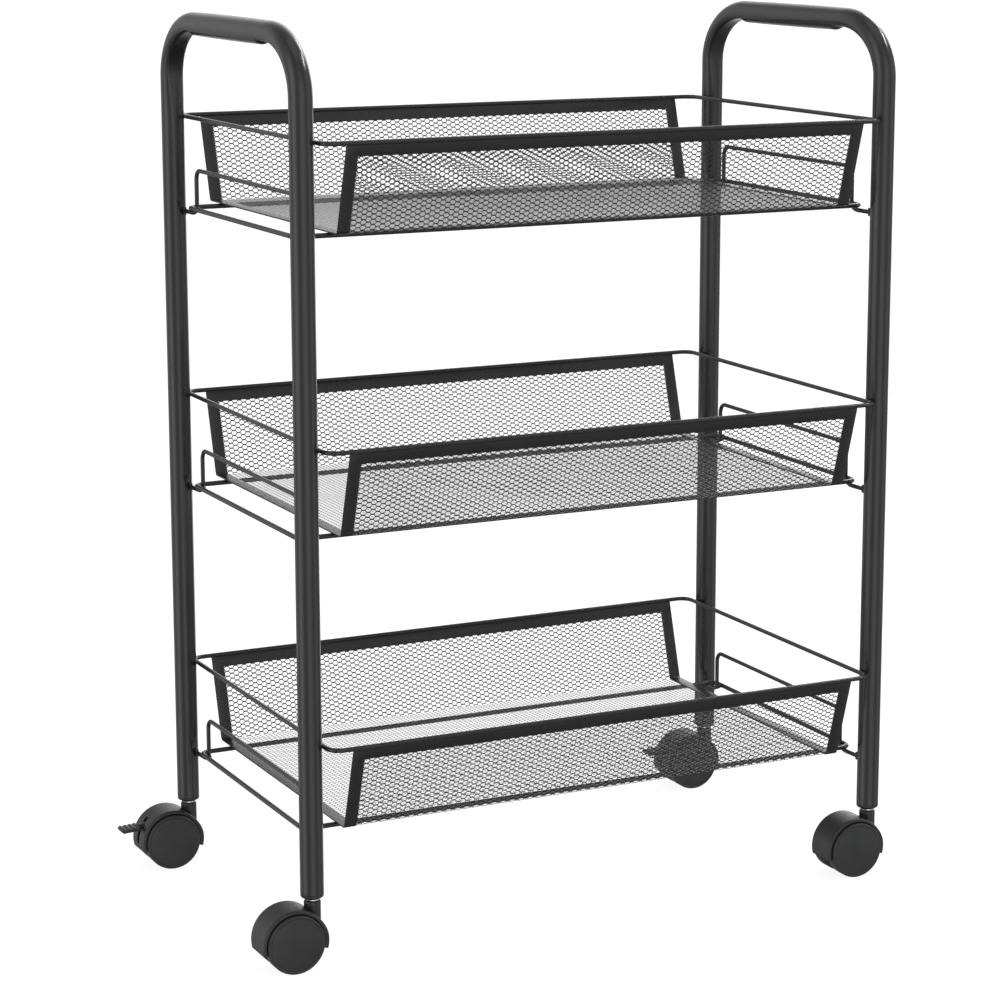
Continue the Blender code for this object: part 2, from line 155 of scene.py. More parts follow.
# Casters, about the swivel axis
TRAIL = 17.0 * MM
WHEEL_R = extent("wheel_front_front_left").z / 2
WHEEL_FACE = 16.0 * MM
WHEEL_BACK = 4.0 * MM
AXLE_HOLE_R = 2.3 * MM
HOOD_R = 23.4 * MM
HOOD_FLARE = 1.2 * MM
HOOD_WELL_R = 21.0 * MM
HOOD_HALF = 12.4 * MM
HOOD_END = math.radians(15)
HOOD_CORNER = 1.5 * MM
WEB_HALF = 3.5 * MM
NECK_R = 5.8 * MM
NECK_TOP_Z = 45.6 * MM
LEVER_X = -30.5 * MM
LEVER_Z = 32.4 * MM
ARM_R = 3.1 * MM
ARM_HALF = 1.8 * MM
TRUNNION_R = 1.2 * MM
SLOT_HALF = 2.2 * MM
SLOT_LOW_Z = 19.0 * MM
SLOT_HIGH_Z = 38.3 * MM
SLOT_DEPTH_X = -26.5 * MM
PEDAL_TIP_X = -54.5 * MM
PEDAL_ROOT_X = -40.0 * MM
PEDAL_HALF = 6.0 * MM
PEDAL_TOP_Z = 33.4 * MM
PEDAL_THICK = 2.1 * MM
PEDAL_TILT = math.radians(3.5)
PEDAL_RIBS = 4
RIB_HIGH = 0.75 * MM


# ---------------------------------------------------------------- materials


class Nodes:
    """A small helper for building one material's nodes."""

    def __init__(self, name):
        self.mat = bpy.data.materials.new(name)
        self.mat.use_nodes = True
        self.tree = self.mat.node_tree
        self.shader = self.tree.nodes["Principled BSDF"]
        self.place = self.tree.nodes.new("ShaderNodeTexCoord").outputs["Object"]

    def link(self, a, b):
        self.tree.links.new(a, b)

    def noise(self, scale, detail=2.0, rough=0.5, stretch=None):
        node = self.tree.nodes.new("ShaderNodeTexNoise")
        node.inputs["Scale"].default_value = scale
        node.inputs["Detail"].default_value = detail
        node.inputs["Roughness"].default_value = rough
        source = self.place
        if stretch:
            mapping = self.tree.nodes.new("ShaderNodeMapping")
            mapping.inputs["Scale"].default_value = stretch
            self.link(source, mapping.inputs["Vector"])
            source = mapping.outputs["Vector"]
        self.link(source, node.inputs["Vector"])
        return node.outputs["Fac"]

    def ramp(self, fac, low, high, first, last):
        node = self.tree.nodes.new("ShaderNodeMapRange")
        node.inputs["From Min"].default_value = low
        node.inputs["From Max"].default_value = high
        node.inputs["To Min"].default_value = first
        node.inputs["To Max"].default_value = last
        self.link(fac, node.inputs["Value"])
        return node.outputs["Result"]

    def colours(self, fac, stops):
        node = self.tree.nodes.new("ShaderNodeValToRGB")
        elements = node.color_ramp.elements
        while len(elements) < len(stops):
            elements.new(0.5)
        for element, (at, colour) in zip(elements, stops):
            element.position = at
            element.color = (*colour, 1)
        self.link(fac, node.inputs["Fac"])
        return node.outputs["Color"]

    def bump(self, height, strength, distance, under=None):
        node = self.tree.nodes.new("ShaderNodeBump")
        node.inputs["Strength"].default_value = strength
        node.inputs["Distance"].default_value = distance
        self.link(height, node.inputs["Height"])
        if under is not None:
            self.link(under, node.inputs["Normal"])
        return node.outputs["Normal"]

    def set(self, name, value):
        self.shader.inputs[name].default_value = value

    def feed(self, name, output):
        self.link(output, self.shader.inputs[name])


def shades(colour, spread):
    """The same hue a little darker, plain, and a little lighter."""
    steps = ((0.3, 1 - spread), (0.5, 1.0), (0.7, 1 + spread))
    return [(position, tuple(c * share for c in colour)) for position, share in steps]


def powder_coat(name, colour, roughness):
    """Baked satin paint: a fine orange peel over slow changes of tone and gloss."""
    n = Nodes(name)
    n.feed("Base Color", n.colours(n.noise(42, 4, 0.6), shades(colour, 0.14)))
    n.feed("Roughness", n.ramp(n.noise(260, 3, 0.6), 0.3, 0.7, roughness - 0.05, roughness + 0.05))
    peel = n.bump(n.noise(950, 2, 0.5), 0.10, 0.00010)
    n.feed("Normal", n.bump(n.noise(3600, 1, 0.4), 0.06, 0.00003, peel))
    n.set("Specular IOR Level", 0.5)
    return n.mat


def moulded(name, colour, roughness, grain=0.2):
    """Injection-moulded plastic with a fine spark-eroded surface."""
    n = Nodes(name)
    n.feed("Base Color", n.colours(n.noise(75, 4, 0.65), shades(colour, 0.18)))
    n.feed("Roughness", n.ramp(n.noise(420, 3, 0.6), 0.3, 0.7, roughness - 0.06, roughness + 0.06))
    coarse = n.bump(n.noise(1500, 2, 0.6), grain, 0.00008)
    n.feed("Normal", n.bump(n.noise(5200, 1, 0.5), grain, 0.00003, coarse))
    n.set("Specular IOR Level", 0.45)
    return n.mat


def zinc(name):
    """Bright zinc plating with turning marks round the pin."""
    n = Nodes(name)
    n.feed("Base Color", n.colours(n.noise(500, 3, 0.6), shades((0.66, 0.67, 0.66), 0.10)))
    n.feed("Roughness", n.ramp(n.noise(900, 2, 0.6, (0.15, 0.15, 3.0)), 0.3, 0.7, 0.18, 0.36))
    n.feed("Normal", n.bump(n.noise(1400, 2, 0.5, (0.1, 0.1, 4.0)), 0.15, 0.00003))
    n.set("Metallic", 1.0)
    return n.mat


TUBE_PAINT = powder_coat("tube_powder_coat", (0.0150, 0.0162, 0.0157), 0.22)
WIRE_PAINT = powder_coat("wire_powder_coat", (0.0150, 0.0162, 0.0157), 0.28)
MESH_PAINT = powder_coat("mesh_powder_coat", (0.020, 0.0215, 0.0210), 0.32)
STRIP_PAINT = powder_coat("strip_powder_coat", (0.0110, 0.0120, 0.0116), 0.28)
HOOD_PLASTIC = moulded("housing_moulding", (0.0170, 0.0180, 0.0177), 0.40)
WHEEL_PLASTIC = moulded("wheel_moulding", (0.0200, 0.0210, 0.0207), 0.46, 0.25)
LEVER_PLASTIC = moulded("lever_moulding", (0.0160, 0.0170, 0.0167), 0.44)
SOCKET_PLASTIC = moulded("socket_moulding", (0.0200, 0.0210, 0.0207), 0.42)
ZINC = zinc("zinc_plate")


# ---------------------------------------------------------------- mesh helpers


def mesh_of(bm, name):
    """The mesh of a bmesh, with its normals turned outwards; the bmesh goes."""
    bmesh.ops.recalc_face_normals(bm, faces=bm.faces)
    mesh = bpy.data.meshes.new(name)
    bm.to_mesh(mesh)
    bm.free()
    return mesh


def linked(name, data):
    """A new object in the scene."""
    obj = bpy.data.objects.new(name, data)
    bpy.context.scene.collection.objects.link(obj)
    return obj


def piece(name, mesh, mat, body, nodes, location=(0, 0, 0), angle=40):
    """A piece that rides on the body and stands for the CAD nodes, sharp above the angle."""
    mesh.materials.clear()
    mesh.materials.append(mat)
    mesh.shade_smooth()
    mesh.set_sharp_from_angle(angle=math.radians(angle))
    obj = linked(name, mesh)
    obj.location = location
    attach(obj, body)
    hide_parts(*nodes)
    return obj


def filleted(corners, radius, steps, closed=False):
    """A polyline through the corners, each turn replaced by an arc of the given radius."""
    corners = [Vector(c) for c in corners]
    count = len(corners)
    path = []
    for i, corner in enumerate(corners):
        if not closed and i in (0, count - 1):
            path.append(corner)
            continue
        before = (corners[i - 1] - corner).normalized()
        after = (corners[(i + 1) % count] - corner).normalized()
        half = before.angle(after) / 2
        centre = corner + (before + after).normalized() * (radius / math.sin(half))
        start = corner + before * (radius / math.tan(half)) - centre
        normal = start.cross(corner + after * (radius / math.tan(half)) - centre).normalized()
        side = normal.cross(start)
        turn = math.pi - 2 * half
        for k in range(steps + 1):
            a = turn * k / steps
            path.append(centre + start * math.cos(a) + side * math.sin(a))
    return path


def densified(path, step, closed=False):
    """The same path with no stretch longer than step, so that straights carry enough rings."""
    result = []
    count = len(path)
    for i in range(count if closed else count - 1):
        a, b = path[i], path[(i + 1) % count]
        pieces = max(1, math.ceil((b - a).length / step))
        result += [a.lerp(b, k / pieces) for k in range(pieces)]
    return result if closed else result + [path[-1]]


def sweep(bm, path, radius, sides, normal, closed=False, shape=None, domed=True):
    """Rings round a path that lies in the plane with that normal; an open path gets domed ends.

    shape(i, u, v) may move a point of ring i; u is measured across the path in its plane
    and v along the normal.
    """
    normal = Vector(normal)
    count = len(path)
    rings = []
    for i, point in enumerate(path):
        back = path[i - 1] if closed or i else None
        ahead = path[(i + 1) % count] if closed or i < count - 1 else None
        outgoing = (ahead - point if ahead is not None else point - back).normalized()
        incoming = (point - back).normalized() if back is not None else outgoing
        tangent = (incoming + outgoing).normalized()
        across = normal.cross(tangent)
        stretch = 1 / max(0.3, tangent.dot(outgoing))
        ring = []
        for k in range(sides):
            a = 2 * math.pi * (k + 0.5) / sides
            u, v = math.cos(a) * radius, math.sin(a) * radius
            if shape:
                u, v = shape(i, u, v)
            ring.append(bm.verts.new(point + across * (u * stretch) + normal * v))
        rings.append(ring)
    for i in range(count if closed else count - 1):
        join_rings(bm, rings[i], rings[(i + 1) % count])
    if domed and not closed:
        dome(bm, rings[0], path[0], (path[0] - path[1]).normalized(), radius)
        dome(bm, rings[-1], path[-1], (path[-1] - path[-2]).normalized(), radius)
    return rings


def dome(bm, ring, centre, way, radius):
    """Closes a ring with a slightly rounded end that bulges the given way."""
    for step, (lift, shrink) in enumerate(((0.28, 0.92), (0.42, 0.72), (0.5, 0.4))):
        inner = []
        for vert in ring:
            out = vert.co - centre
            if step:  # the first step follows the slant that the ring may have
                out -= way * out.dot(way)
            spot = centre + out.normalized() * radius * shrink + way * radius * lift
            inner.append(bm.verts.new(spot))
        join_rings(bm, ring, inner)
        ring = inner
    bm.faces.new(ring)


def join_rings(bm, first, second):
    count = len(first)
    for k in range(count):
        n = (k + 1) % count
        bm.faces.new((first[k], first[n], second[n], second[k]))


def revolve(bm, profile, sides, axis="Z", centre=(0, 0, 0)):
    """Turns a closed (radius, height) outline round an axis; points on it become poles."""
    centre = Vector(centre)
    rings = []
    for radius, height in profile:
        if radius < 1e-7:
            rings.append([bm.verts.new(centre + on_axis(0, 0, height, axis))])
            continue
        ring = []
        for k in range(sides):
            a = 2 * math.pi * k / sides
            spot = on_axis(radius * math.cos(a), radius * math.sin(a), height, axis)
            ring.append(bm.verts.new(centre + spot))
        rings.append(ring)
    for first, second in zip(rings, rings[1:] + rings[:1]):
        if len(first) == 1 and len(second) == 1:
            continue
        if len(first) == 1 or len(second) == 1:
            pole, ring = (first[0], second) if len(first) == 1 else (second[0], first)
            for k in range(sides):
                bm.faces.new((pole, ring[k], ring[(k + 1) % sides]))
        else:
            join_rings(bm, first, second)


def on_axis(x, y, height, axis):
    return Vector((x, y, height)) if axis == "Z" else Vector((x, height, y))


def extrude_y(bm, outline, low, high):
    """A prism from an outline of (x, z) points, running from y = low to y = high."""
    first = [bm.verts.new((x, low, z)) for x, z in outline]
    second = [bm.verts.new((x, high, z)) for x, z in outline]
    bm.faces.new(first)
    bm.faces.new(list(reversed(second)))
    join_rings(bm, first, second)


def arc(cx, cz, radius, start, end, steps):
    angles = np.linspace(start, end, steps + 1)
    return [(cx + radius * math.cos(a), cz + radius * math.sin(a)) for a in angles]


def smooth(value, width):
    """An eased step from 0 at 0 to 1 at the width."""
    t = min(1.0, max(0.0, value / width))
    return t * t * (3 - 2 * t)


def tool(build, *args):
    """A throwaway body for shaped()."""
    bm = bmesh.new()
    build(bm, *args)
    return linked("tool", mesh_of(bm, "tool"))


def shaped(obj, steps):
    """Applies ("UNION" | "DIFFERENCE", tool) steps to obj and returns the mesh."""
    for operation, other in steps:
        mod = obj.modifiers.new("shape", "BOOLEAN")
        mod.object, mod.operation, mod.solver = other, operation, "EXACT"
    mesh = baked(obj)
    for _, other in steps:
        bpy.data.objects.remove(other)
    return mesh


def baked(obj):
    """The mesh of a throwaway object with its modifiers applied; the object goes."""
    bpy.context.view_layer.update()
    evaluated = obj.evaluated_get(bpy.context.evaluated_depsgraph_get())
    mesh = bpy.data.meshes.new_from_object(evaluated)
    bpy.data.objects.remove(obj)
    bm = bmesh.new()
    bm.from_mesh(mesh)
    bmesh.ops.remove_doubles(bm, verts=bm.verts, dist=0.004 * MM)
    bmesh.ops.dissolve_degenerate(bm, edges=bm.edges, dist=0.004 * MM)
    bm.to_mesh(mesh)
    bm.free()
    return mesh


def softened(mesh, width, segments, angle):
    """Rounds every edge sharper than the angle."""
    obj = linked("tool", mesh)
    mod = obj.modifiers.new("round", "BEVEL")
    mod.width, mod.segments, mod.limit_method = width, segments, "ANGLE"
    mod.angle_limit = math.radians(angle)
    mod.miter_outer = "MITER_ARC"
    return baked(obj)


# ---------------------------------------------------------------- end frames


def end_frame(side):
    """A bent tube. The inner side of each bend is pressed in, as a bending die leaves it."""
    x = CENTRE_X + SIDES[side] * LEG_X
    top = FRAME_TOP_Z - TUBE_R + BAR_LIFT
    start_y, start_z = LEG_Y - BEND_ALONG, top - BEND_UP
    half = [Vector((x, -LEG_Y, TUBE_FOOT_Z))]
    for t in np.linspace(0, math.pi / 2, 31):
        y, z = -start_y - BEND_ALONG * math.cos(t), start_z + BEND_UP * math.sin(t)
        half.append(Vector((x, y, z)))
    whole = half + [Vector((x, -p.y, p.z)) for p in reversed(half)]
    path = refined(densified(whole, 14 * MM), start_y, top)
    press = [dent(point, start_y, start_z, top) for point in path]

    def shape(i, u, v):
        if path[i].z >= top - TINY:
            fade = smooth(abs(path[i].y) - BAR_SWELL_HALF, BAR_SWELL_FADE)
            swell = 1 + BAR_SWELL * (1 - fade)
            u, v = swell * u, swell * v
        if press[i] <= 0:
            return u, v
        over = (-u - (TUBE_R - press[i])) / PRESS_SOFT
        return u + math.log1p(math.exp(min(over, 40))) * PRESS_SOFT, v

    bm = bmesh.new()
    outer, inner = (sweep(bm, path, radius, 48, (1, 0, 0), shape=shape, domed=False)
                    for radius in (TUBE_R, TUBE_R - TUBE_WALL))
    join_rings(bm, outer[0], inner[0])
    join_rings(bm, outer[-1], inner[-1])
    name = f"bent_tube_{side}"
    nodes = [f"end_frame_{side}"]
    piece(name, mesh_of(bm, name), TUBE_PAINT, ROOT, nodes, angle=50)


def refined(path, start_y, top):
    """The same path with short steps where a bend meets the bar and the press mark fades."""
    result = []
    for a, b in zip(path, path[1:]):
        near = min(abs(abs(p.y) - start_y) + abs(p.z - top) for p in (a, b))
        pieces = 10 if near < 20 * MM and (b - a).length > 3 * MM else 1
        result += [a.lerp(b, k / pieces) for k in range(pieces)]
    return result + [path[-1]]


def dent(point, start_y, start_z, top):
    """How far a bend's inner side is pressed in at a point of the path."""
    if point.z < top - TINY:
        return PRESS_DEPTH * smooth(point.z - start_z + PRESS_DOWN, PRESS_DOWN_FADE)
    along = PRESS_ALONG["front" if point.y < 0 else "back"]
    return PRESS_DEPTH * smooth(abs(point.y) - start_y + along, PRESS_ALONG_FADE)


# ---------------------------------------------------------------- tiers


def wire_loop(half_x, half_y, z, corner, steps):
    """A level rectangle round the cart's middle, with rounded corners."""
    signs = ((-1, -1), (1, -1), (1, 1), (-1, 1))
    corners = [(CENTRE_X + x * half_x, y * half_y, z) for x, y in signs]
    return densified(filleted(corners, corner, steps, closed=True), 40 * MM, closed=True)


def wire_piece(name, bm, node):
    piece(name, mesh_of(bm, name), WIRE_PAINT, ROOT, [node])


def rim_wire(tier):
    bm = bmesh.new()
    path = wire_loop(RIM_X, RIM_Y, TIER_Z[tier], RIM_CORNER, 12)
    sweep(bm, path, RIM_R, 24, (0, 0, 1), closed=True)
    wire_piece(f"rim_{tier}", bm, f"rim_wire_{tier}")


def base_wire(tier):
    """The wire ring under the tray, sagging with its thick paint, with its hooks and pins."""
    z = TIER_Z[tier] - BASE_DROP
    low = z - HOOK_DROP
    bm = bmesh.new()
    path = wire_loop(BASE_X, BASE_Y, z - COAT, BASE_CORNER, 10)
    sweep(bm, path, BASE_R + COAT, 20, (0, 0, 1), closed=True)
    for side in SIDES.values():
        for end in ENDS.values():
            hook_x, pin_x, pin_y = CENTRE_X + side * HOOK_X, CENTRE_X + side * PIN_X, end * PIN_Y
            bend = [(hook_x, end * HOOK_ROOT_Y, z - HOOK_ROOT_DROP)]
            bend += [(hook_x, end * HOOK_BEND_Y, low), (pin_x, pin_y, low)]
            sweep(bm, filleted(bend, HOOK_BEND_R, 10), HOOK_R, 16, (1, 0, 0))
            pin = [Vector((pin_x, pin_y, low - PIN_HALF)), Vector((pin_x, pin_y, low + PIN_HALF))]
            sweep(bm, densified(pin, 2 * MM), PIN_R, 16, (1, 0, 0))
    wire_piece(f"base_ring_{tier}", bm, f"base_wire_{tier}")


def guard(tier, side):
    x = CENTRE_X + SIDES[side] * (GUARD_X - GUARD_INSET)
    top = TIER_Z[tier] - GUARD_DROP
    foot = TIER_Z[tier] - BASE_DROP - GUARD_FOOT_DROP
    corners = [(x, -GUARD_Y, foot), (x, -GUARD_Y, top), (x, GUARD_Y, top), (x, GUARD_Y, foot)]
    path = densified(filleted(corners, GUARD_CORNER, 10), 30 * MM)
    bm = bmesh.new()
    sweep(bm, path, GUARD_R + COAT, 18, (1, 0, 0))
    wire_piece(f"guard_arch_{side}_{tier}", bm, f"guard_{side}_{tier}")


class Profile:
    """The tray's section from rim to rim by the length along it; its normals face inwards."""

    def __init__(self):
        corners = [(0, -RIM_Y, 0), (0, -TRAY_FLOOR_Y, -TRAY_DEPTH)]
        corners += [(0, -y, z) for _, y, z in reversed(corners)]
        path = filleted(corners, FOLD_R, FOLD_STEPS)
        self.points = np.array([(p.y, p.z) for p in path])
        steps = np.linalg.norm(np.diff(self.points, axis=0), axis=1)
        self.s = np.concatenate([[0], np.cumsum(steps)])
        self.length = self.s[-1]
        self.floor_start, self.floor_end = self.s[FOLD_STEPS + 1], self.s[FOLD_STEPS + 2]

    def on(self, s):
        return np.array([np.interp(s, self.s, self.points[:, k]) for k in (0, 1)])

    def at(self, s, lift):
        """The points at the lengths s, raised along the normal, as (y, z)."""
        reach = 0.15 * MM
        y, z = self.on(s)
        dy, dz = self.on(np.minimum(s + reach, self.length)) - self.on(np.maximum(s - reach, 0))
        size = np.hypot(dy, dz)
        return y - dz / size * lift, z + dy / size * lift


def hexagon(wide, narrow, high):
    return np.array([(wide, 0), (narrow, high), (-narrow, high),
                     (-wide, 0), (-narrow, -high), (narrow, -high)])


def hole_centres(profile, low_s, high_s):
    """The (x, s) middles of the holes between two lengths along the profile, in staggered rows."""
    half = profile.length / 2
    reach_x = TRAY_X - END_STRIP + MESH_LAP_X
    last = int(reach_x // PITCH_X) + 1
    step = PITCH_S / 2
    centres = []
    for row in range(math.ceil((low_s - half) / step), math.ceil((high_s - half) / step)):
        xs = np.arange(-last, last + 1) * PITCH_X + (row % 2) * PITCH_X / 2
        xs = xs[np.abs(xs) <= reach_x]
        centres.append(np.stack([xs, np.full(len(xs), half + row * step)], 1))
    return np.concatenate(centres)


def lattice(profile, low_s, high_s):
    """The pierced sheet between two lengths: hexagonal holes with rounded strands between them.

    The cells' shared corners carry a point on each face of the sheet, and the holes' own
    corners one in its middle, so every strand has a four-sided section.
    """
    centres = hole_centres(profile, low_s, high_s)
    far = (PITCH_X**2 + PITCH_S**2) / (4 * PITCH_X)
    near = far - PITCH_S**2 / (2 * PITCH_X)
    cells = (centres[:, None] + hexagon(far, near, PITCH_S / 2)[None]).reshape(-1, 2)
    holes = (centres[:, None] + hexagon(*HOLE)[None]).reshape(-1, 2)
    keys = np.round(cells / (0.02 * MM)).astype(np.int64)
    _, first, index = np.unique(keys, axis=0, return_index=True, return_inverse=True)
    index = index.reshape(-1, 6)
    shared = cells[first]
    count = len(shared)
    layers = []
    for points, lift in ((shared, MESH_HALF), (shared, -MESH_HALF), (holes, 0.0)):
        y, z = profile.at(points[:, 1], lift)
        layers.append(np.stack([points[:, 0], y, z], 1))
    verts = np.concatenate(layers)
    ring = 2 * count + np.arange(len(holes)).reshape(-1, 6)
    faces, edges = [], []
    for k in range(6):
        n = (k + 1) % 6
        a, b, c, d = index[:, k], index[:, n], ring[:, n], ring[:, k]
        faces.append(np.stack([a, b, c, d], 1))
        faces.append(np.stack([b + count, a + count, d, c], 1))
        edges.append(np.stack([a, b], 1))
    edges = np.concatenate(edges)
    ordered = np.sort(edges, axis=1)
    _, back, times = np.unique(ordered, axis=0, return_inverse=True, return_counts=True)
    rim = edges[times[back.reshape(-1)] == 1]
    faces.append(np.stack([rim[:, 1], rim[:, 0], rim[:, 0] + count, rim[:, 1] + count], 1))
    mesh = bpy.data.meshes.new("lattice")
    mesh.from_pydata(verts.tolist(), [], np.concatenate(faces).tolist())
    mesh.update()
    return mesh


def tray_border(profile):
    """The solid margin of the sheet: along both top edges and right across both ends."""
    top, clear = RIM_R + GAP + TOP_STRIP, 0.5 * MM
    stops = [STRIP_START, top]
    stops += [s for s in profile.s if top + clear < s < profile.length - top - clear]
    stops += [profile.length - top, profile.length - STRIP_START]
    stops = np.array(stops)
    xs = [-TRAY_X, -(TRAY_X - END_STRIP), TRAY_X - END_STRIP, TRAY_X]
    bm = bmesh.new()
    layers = []
    for lift in (STRIP_HALF, -STRIP_HALF):
        y, z = profile.at(stops, lift)
        layers.append([[bm.verts.new((x, y[j], z[j])) for x in xs] for j in range(len(stops))])
    last = len(stops) - 2

    def solid(i, j):
        return 0 <= i < 3 and 0 <= j <= last and (i in (0, 2) or j in (0, last))

    for j in range(last + 1):
        for i in range(3):
            if not solid(i, j):
                continue
            for layer in layers:
                bm.faces.new((layer[j][i], layer[j][i + 1], layer[j + 1][i + 1], layer[j + 1][i]))
            walls = (((i - 1, j), (i, j), (i, j + 1)), ((i + 1, j), (i + 1, j), (i + 1, j + 1)),
                     ((i, j - 1), (i, j), (i + 1, j)), ((i, j + 1), (i, j + 1), (i + 1, j + 1)))
            for neighbour, a, b in walls:
                if not solid(*neighbour):
                    bm.faces.new((layers[0][a[1]][a[0]], layers[0][b[1]][b[0]],
                                  layers[1][b[1]][b[0]], layers[1][a[1]][a[0]]))
    return softened(mesh_of(bm, "border"), 0.28 * MM, 3, 40)


def trays():
    profile = Profile()
    inset = 2.5 * MM
    low, high = profile.floor_start + inset, profile.floor_end - inset
    top = RIM_R + TOP_STRIP - MESH_LAP_S
    shapes = {
        "front_wall": lattice(profile, top, low),
        "floor": lattice(profile, low, high),
        "back_wall": lattice(profile, high, profile.length - top),
    }
    border = tray_border(profile)
    for tier in TIERS:
        place = (CENTRE_X, 0, TIER_Z[tier])
        for name, mesh in shapes.items():
            piece(f"mesh_{name}_{tier}", mesh.copy(), MESH_PAINT, ROOT, [f"tray_mesh_{tier}"],
                  place, 80)
        parts = ("border_front", "border_back", "floor_strip_left", "floor_strip_right")
        nodes = [f"{part}_{tier}" for part in parts]
        piece(f"tray_border_{tier}", border.copy(), STRIP_PAINT, ROOT, nodes,
              place)
    for mesh in (*shapes.values(), border):
        bpy.data.meshes.remove(mesh)


# ---------------------------------------------------------------- casters


def stem_socket(name, place):
    """The plug in the end of the leg: a rounded lip under the tube, with a fine seam above it."""
    bore, sleeve = 4.3 * MM, TUBE_R - 1.4 * MM
    foot, lip_r, round_r = 48.0 * MM, TUBE_R - 0.05 * MM, 1.7 * MM
    lip_top, top = TUBE_FOOT_Z - 0.15 * MM, 82.0 * MM
    bevel, edge = 0.5 * MM, 0.2 * MM
    corner = arc(lip_r - round_r, foot + round_r, round_r, -math.pi / 2, 0, 8)
    profile = [(bore, foot + bevel), (bore + bevel, foot), *corner, (lip_r, lip_top - edge)]
    profile += [(lip_r - edge, lip_top), (sleeve, lip_top), (sleeve, top), (bore, top)]
    bm = bmesh.new()
    revolve(bm, profile, 40, centre=place)
    plug = f"leg_plug_{name}"
    nodes = [f"stem_socket_{name}"]
    piece(plug, mesh_of(bm, plug), SOCKET_PLASTIC, ROOT, nodes)


def caster_stem(name, place):
    """The zinc-plated swivel pin and its collar, with turned edges."""
    pin_r, low = 3.0 * MM, 35.0 * MM
    foot, collar_r, top = 46.1 * MM, 5.2 * MM, 47.5 * MM
    shank_r, shank_top, tip = 4.0 * MM, 83.0 * MM, 84.0 * MM
    edge = 0.35 * MM
    profile = [(0, low), (pin_r - edge, low), (pin_r, low + edge), (pin_r, foot)]
    profile += [(collar_r - edge, foot), (collar_r, foot + edge)]
    profile += [(collar_r, top - edge), (collar_r - edge, top)]
    profile += [(shank_r, top), (shank_r, shank_top), (pin_r, tip), (0, tip)]
    bm = bmesh.new()
    revolve(bm, profile, 36, centre=place)
    pin = f"swivel_pin_{name}"
    nodes = [f"caster_stem_{name}"]
    piece(pin, mesh_of(bm, pin), ZINC, ROOT, nodes, angle=30)


def hood_section(angle):
    """The hood's section at an angle round the wheel's axis, as (y, radius).

    It is a band with well-rounded outer corners, flared at the end next to the leg.
    """
    outer = HOOD_R + HOOD_FLARE * (1 - smooth(math.degrees(angle) - 2, 48))
    flat_half, edge = HOOD_HALF - HOOD_CORNER, 0.35 * MM
    corner = arc(flat_half, outer - HOOD_CORNER, HOOD_CORNER, math.pi / 2, 0, 6)
    across = [(y, outer) for y in np.linspace(-flat_half, flat_half, 18)[1:-1]]
    inside = [(y, HOOD_WELL_R) for y in np.linspace(HOOD_HALF - edge, edge - HOOD_HALF, 14)]
    inside = [(HOOD_HALF, HOOD_WELL_R + edge), *inside, (-HOOD_HALF, HOOD_WELL_R + edge)]
    return across + corner + inside + [(-y, r) for y, r in reversed(corner)]


def housing_mesh(braked):
    """Hood, web and neck, less the bore, axle hole and lever slot, about the swivel axis."""
    hub = (-TRAIL, 0, WHEEL_R)

    def hood(bm):
        rings = []
        for angle in np.linspace(-HOOD_END, math.pi + HOOD_END, 86):
            c, s = math.cos(angle), math.sin(angle)
            section = hood_section(angle)
            ring = [bm.verts.new((-TRAIL + r * c, y, WHEEL_R + r * s)) for y, r in section]
            if rings:
                join_rings(bm, rings[-1], ring)
            rings.append(ring)
        bm.faces.new(rings[0])
        bm.faces.new(rings[-1])

    def web(bm):
        radius = HOOD_WELL_R + 0.6 * MM
        outline = arc(-TRAIL, WHEEL_R, radius, -HOOD_END, math.pi + HOOD_END, 60)
        extrude_y(bm, outline, -WEB_HALF, WEB_HALF)

    def neck(bm):
        foot, step = 26, 1.6
        profile = [(0, foot * MM)]
        profile += [(NECK_R, z * MM) for z in np.arange(foot, NECK_TOP_Z / MM - 1, step)]
        profile += [(NECK_R, NECK_TOP_Z - 0.7 * MM), (NECK_R - 0.25 * MM, NECK_TOP_Z - 0.2 * MM)]
        profile += [(NECK_R - 0.7 * MM, NECK_TOP_Z), (0, NECK_TOP_Z)]
        revolve(bm, profile, 64)

    def well(bm, sign):
        near, far = sorted((sign * WEB_HALF, sign * 3 * HOOD_HALF))
        radius = HOOD_WELL_R + 0.5 * MM
        revolve(bm, [(0, near), (radius, near), (radius, far), (0, far)], 96, "Y", hub)

    def bore(bm):
        radius, low, high = 3.3 * MM, 34.7 * MM, 60 * MM
        revolve(bm, [(0, low), (radius, low), (radius, high), (0, high)], 32)

    def axle_hole(bm):
        reach = 2 * WEB_HALF
        profile = [(0, -reach), (AXLE_HOLE_R, -reach), (AXLE_HOLE_R, reach), (0, reach)]
        revolve(bm, profile, 24, "Y", hub)

    def slot(bm):
        low, high, turn = SLOT_LOW_Z, SLOT_HIGH_Z, SLOT_HALF
        rows = [(low, 0.35), (low + 0.35 * turn, 0.8), (low + turn, 1)]
        rows += [(high - turn, 1), (high - 0.35 * turn, 0.8), (high, 0.35)]
        side = [(share * SLOT_HALF, z) for z, share in rows]
        around = side + [(-y, z) for y, z in reversed(side)]
        outside, inside = ([bm.verts.new((x, y, z)) for y, z in around]
                           for x in (-60 * MM, SLOT_DEPTH_X))
        join_rings(bm, outside, inside)
        bm.faces.new(outside)
        bm.faces.new(inside)

    stalk = shaped(tool(neck), [("DIFFERENCE", tool(well, -1)), ("DIFFERENCE", tool(well, 1))])
    steps = [("UNION", tool(web)), ("UNION", linked("tool", stalk))]
    steps += [("DIFFERENCE", tool(cut)) for cut in (bore, axle_hole, *((slot,) if braked else ()))]
    return shaped(tool(hood), steps)


